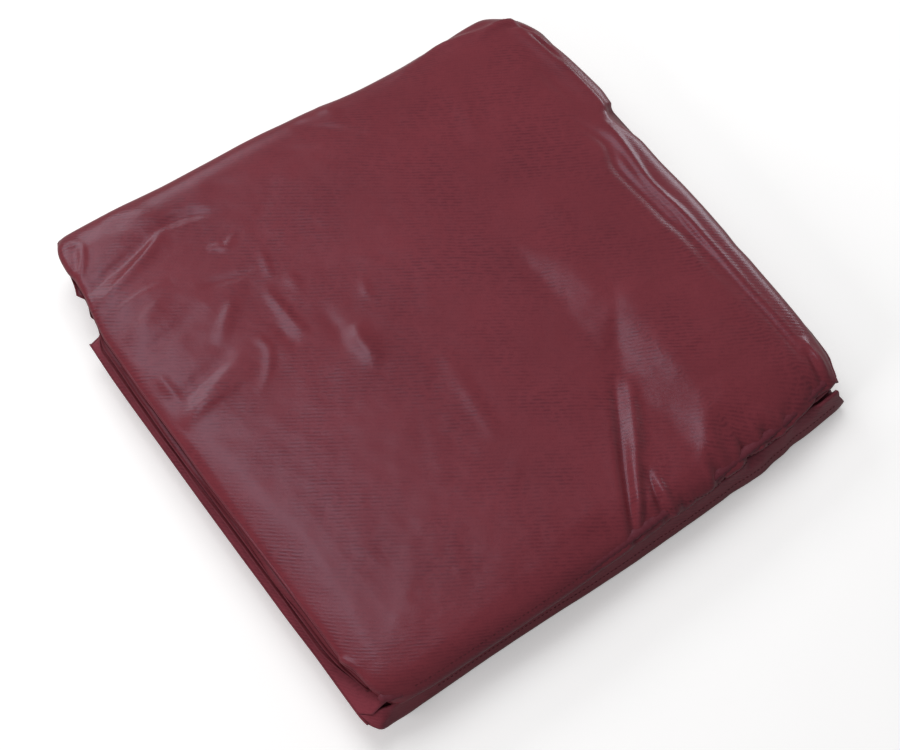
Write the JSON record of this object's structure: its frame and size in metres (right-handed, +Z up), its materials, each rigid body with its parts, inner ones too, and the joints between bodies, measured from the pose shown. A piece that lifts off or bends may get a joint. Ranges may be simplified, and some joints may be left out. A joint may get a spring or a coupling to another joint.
{
  "type": "folded spa cover",
  "caption": "Square fitted hot tub cover of coated polyester cloth with an elastic hem, folded flat for storage into hinged leaves that open out.",
  "frame": {"origin": "bottom centre of the folded packet's bounding box, on the face it rests on", "axes": "+Z up through the stack of leaves; the leaves hinge on fold lines that run along Y, the upper fold at +X and the lower fold at -X; the hems run along X at -Y"},
  "size_m": [0.423, 0.423, 0.046],
  "materials": {
    "cloth": "burgundy PVC-coated polyester, satin, fine plain weave showing through the coating",
    "hem": "the same coated cloth, double turned and stitched",
    "crease": "the same coated cloth, tightly folded",
    "elastic": "black braided shock cord, matte",
    "thread": "dark red bonded polyester thread, satin"
  },
  "bodies": {
    "bottom_leaf": {"bottom_leaf_outer_ply": "cloth", "bottom_leaf_panel_plies": "cloth", "bottom_leaf_skirt_plies": "cloth", "bottom_leaf_hem": "hem", "bottom_leaf_elastic_cord": "elastic", "bottom_leaf_hem_thread": "thread", "lower_fold_crease": "crease"},
    "middle_leaf": {"middle_leaf_outer_ply": "cloth", "middle_leaf_panel_plies": "cloth", "middle_leaf_skirt_plies": "cloth", "middle_leaf_hem": "hem", "middle_leaf_elastic_cord": "elastic", "middle_leaf_hem_thread": "thread", "upper_fold_crease": "crease"},
    "top_leaf": {"top_leaf_outer_ply": "cloth", "top_leaf_panel_plies": "cloth", "top_leaf_skirt_plies": "cloth", "top_leaf_hem": "hem", "top_leaf_elastic_cord": "elastic", "top_leaf_hem_thread": "thread"}
  },
  "joints": [
    {"name": "lower_fold", "type": "hinge", "parent": "bottom_leaf", "child": "middle_leaf", "pos_m": [-0.2103, 0, 0.024], "axis": [0, -1, 0], "range_deg": [0, 180]},
    {"name": "upper_fold", "type": "hinge", "parent": "middle_leaf", "child": "top_leaf", "pos_m": [0.2024, 0, 0.032], "axis": [0.04, 0.9992, 0], "range_deg": [0, 180]}
  ]
}
